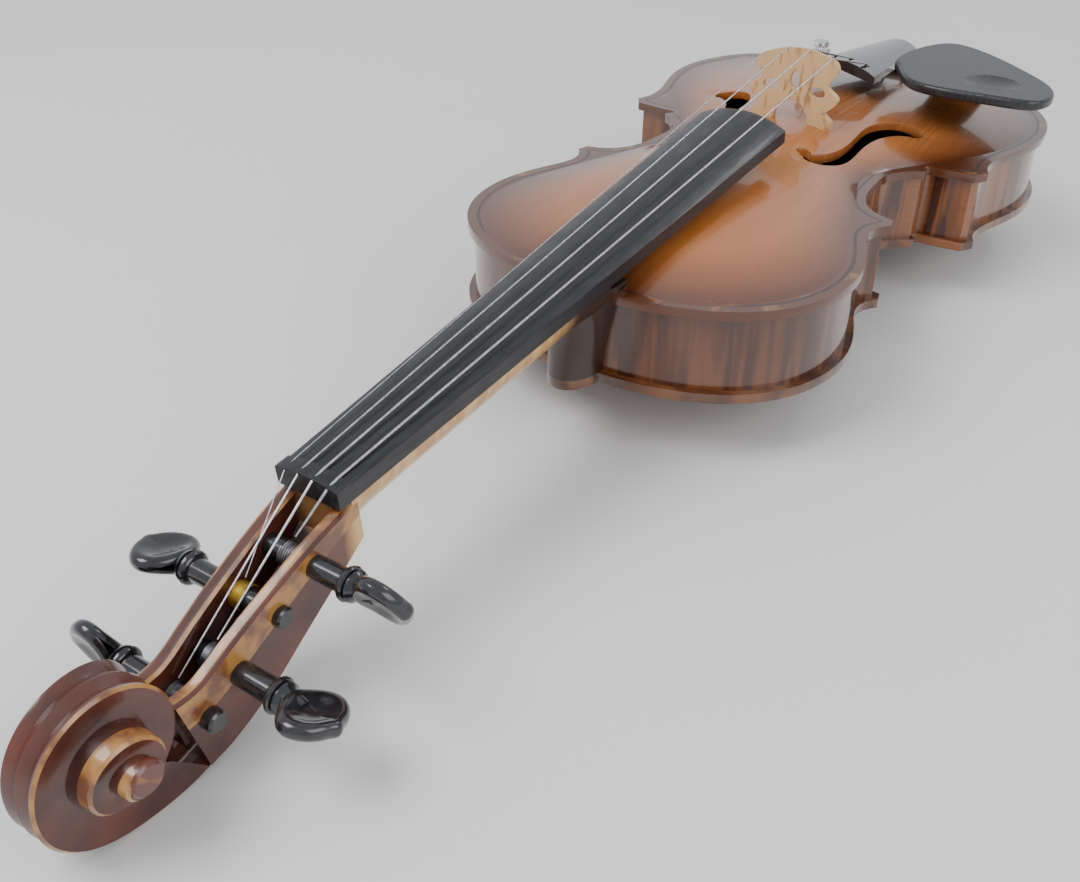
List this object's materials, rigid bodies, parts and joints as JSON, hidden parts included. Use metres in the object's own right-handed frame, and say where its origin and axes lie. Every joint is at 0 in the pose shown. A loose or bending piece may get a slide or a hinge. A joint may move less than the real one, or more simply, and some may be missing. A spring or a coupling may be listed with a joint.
{
  "type": "violin",
  "caption": "Full-size violin with carved scroll, friction tuning pegs, fine tuner, arched plates with sound holes, bridge, tailpiece and clamped chin rest",
  "frame": {"origin": "crown of the back below the bridge line, the place the violin rests on when it lies on its back", "axes": "+X to the treble side, +Y along the body to the scroll, +Z out of the top plate"},
  "size_m": [0.2122, 0.6048, 0.1127],
  "materials": {
    "string_metal": "wound steel",
    "spruce_varnish": "glossy shaded orange-brown varnish",
    "bare_spruce": "bare wood",
    "maple_varnish": "glossy shaded red-brown varnish",
    "purfling_black": "dyed strip",
    "head_varnish": "dark red-brown varnish, bare on the neck",
    "bridge_maple": "bare flecked maple",
    "peg_black": "polished ebony",
    "ebony": "satin ebony",
    "polished_black": "gloss",
    "cork": "cork pad",
    "plated_steel": "nickel plated"
  },
  "bodies": {
    "body": {"back_linings": "bare_spruce", "back_plate": "maple_varnish", "back_purfling": "purfling_black", "bass_bar": "bare_spruce", "bracket_cork": "cork", "bridge": "bridge_maple", "center_rib_bass": "maple_varnish", "center_rib_treble": "maple_varnish", "chin_rest_bracket": "plated_steel", "chin_rest_cork": "cork", "chin_rest_plate": "polished_black", "clamp_rods": "plated_steel", "corner_blocks": "bare_spruce", "end_button": "polished_black", "fingerboard": "ebony", "lower_block": "bare_spruce", "lower_rib_bass": "maple_varnish", "lower_rib_treble": "maple_varnish", "neck": "head_varnish", "nut": "ebony", "saddle": "ebony", "sound_post": "bare_spruce", "string_a": "string_metal", "string_d": "string_metal", "string_e": "string_metal", "string_g": "string_metal", "tail_gut": "polished_black", "tailpiece": "polished_black", "top_linings": "bare_spruce", "top_plate": "spruce_varnish", "top_purfling": "purfling_black", "tuner_body": "plated_steel", "tuner_pin": "plated_steel", "upper_block": "bare_spruce", "upper_rib_bass": "maple_varnish", "upper_rib_treble": "maple_varnish"},
    "tuning_peg_g": {"peg_g": "peg_black", "winding_g": "string_metal"},
    "tuning_peg_d": {"peg_d": "peg_black", "winding_d": "string_metal"},
    "tuning_peg_a": {"peg_a": "peg_black", "winding_a": "string_metal"},
    "tuning_peg_e": {"peg_e": "peg_black", "winding_e": "string_metal"},
    "fine_tuner_screw": {"tuner_screw": "plated_steel"},
    "fine_tuner_lever": {"tuner_lever": "plated_steel"},
    "clamp_barrel_outer_body": {"clamp_barrel_outer": "plated_steel"},
    "clamp_barrel_inner_body": {"clamp_barrel_inner": "plated_steel"}
  },
  "joints": [
    {"name": "peg_g_turn", "type": "hinge", "parent": "body", "child": "tuning_peg_g", "pos_m": [0, 0.34669, 0.02779], "axis": [-1, 0, 0], "continuous": true},
    {"name": "peg_d_turn", "type": "hinge", "parent": "body", "child": "tuning_peg_d", "pos_m": [0, 0.37551, 0.0107], "axis": [-1, 0, 0], "continuous": true},
    {"name": "peg_a_turn", "type": "hinge", "parent": "body", "child": "tuning_peg_a", "pos_m": [0, 0.38686, 0.00398], "axis": [1, 0, 0], "continuous": true},
    {"name": "peg_e_turn", "type": "hinge", "parent": "body", "child": "tuning_peg_e", "pos_m": [0, 0.3604, 0.01967], "axis": [1, 0, 0], "continuous": true},
    {"name": "fine_tuner_turn", "type": "hinge", "parent": "body", "child": "fine_tuner_screw", "pos_m": [0.0129, -0.064, 0.0764], "axis": [0, 0, 1], "range_deg": [-360, 360]},
    {"name": "fine_tuner_lever_tilt", "type": "hinge", "parent": "body", "child": "fine_tuner_lever", "pos_m": [0.0129, -0.0531, 0.0724], "axis": [1, 0, 0], "range_deg": [-1.5, 1.5]},
    {"name": "clamp_outer_turn", "type": "hinge", "parent": "body", "child": "clamp_barrel_outer_body", "pos_m": [-0.054, -0.1627, 0.0305], "axis": [0, 0, 1], "range_deg": [-360, 360]},
    {"name": "clamp_inner_turn", "type": "hinge", "parent": "body", "child": "clamp_barrel_inner_body", "pos_m": [-0.036, -0.1627, 0.0305], "axis": [0, 0, 1], "range_deg": [-360, 360]}
  ],
  "couplings": [
    {"joint": "fine_tuner_lever_tilt", "follows": "fine_tuner_turn", "ratio": 0.004}
  ]
}
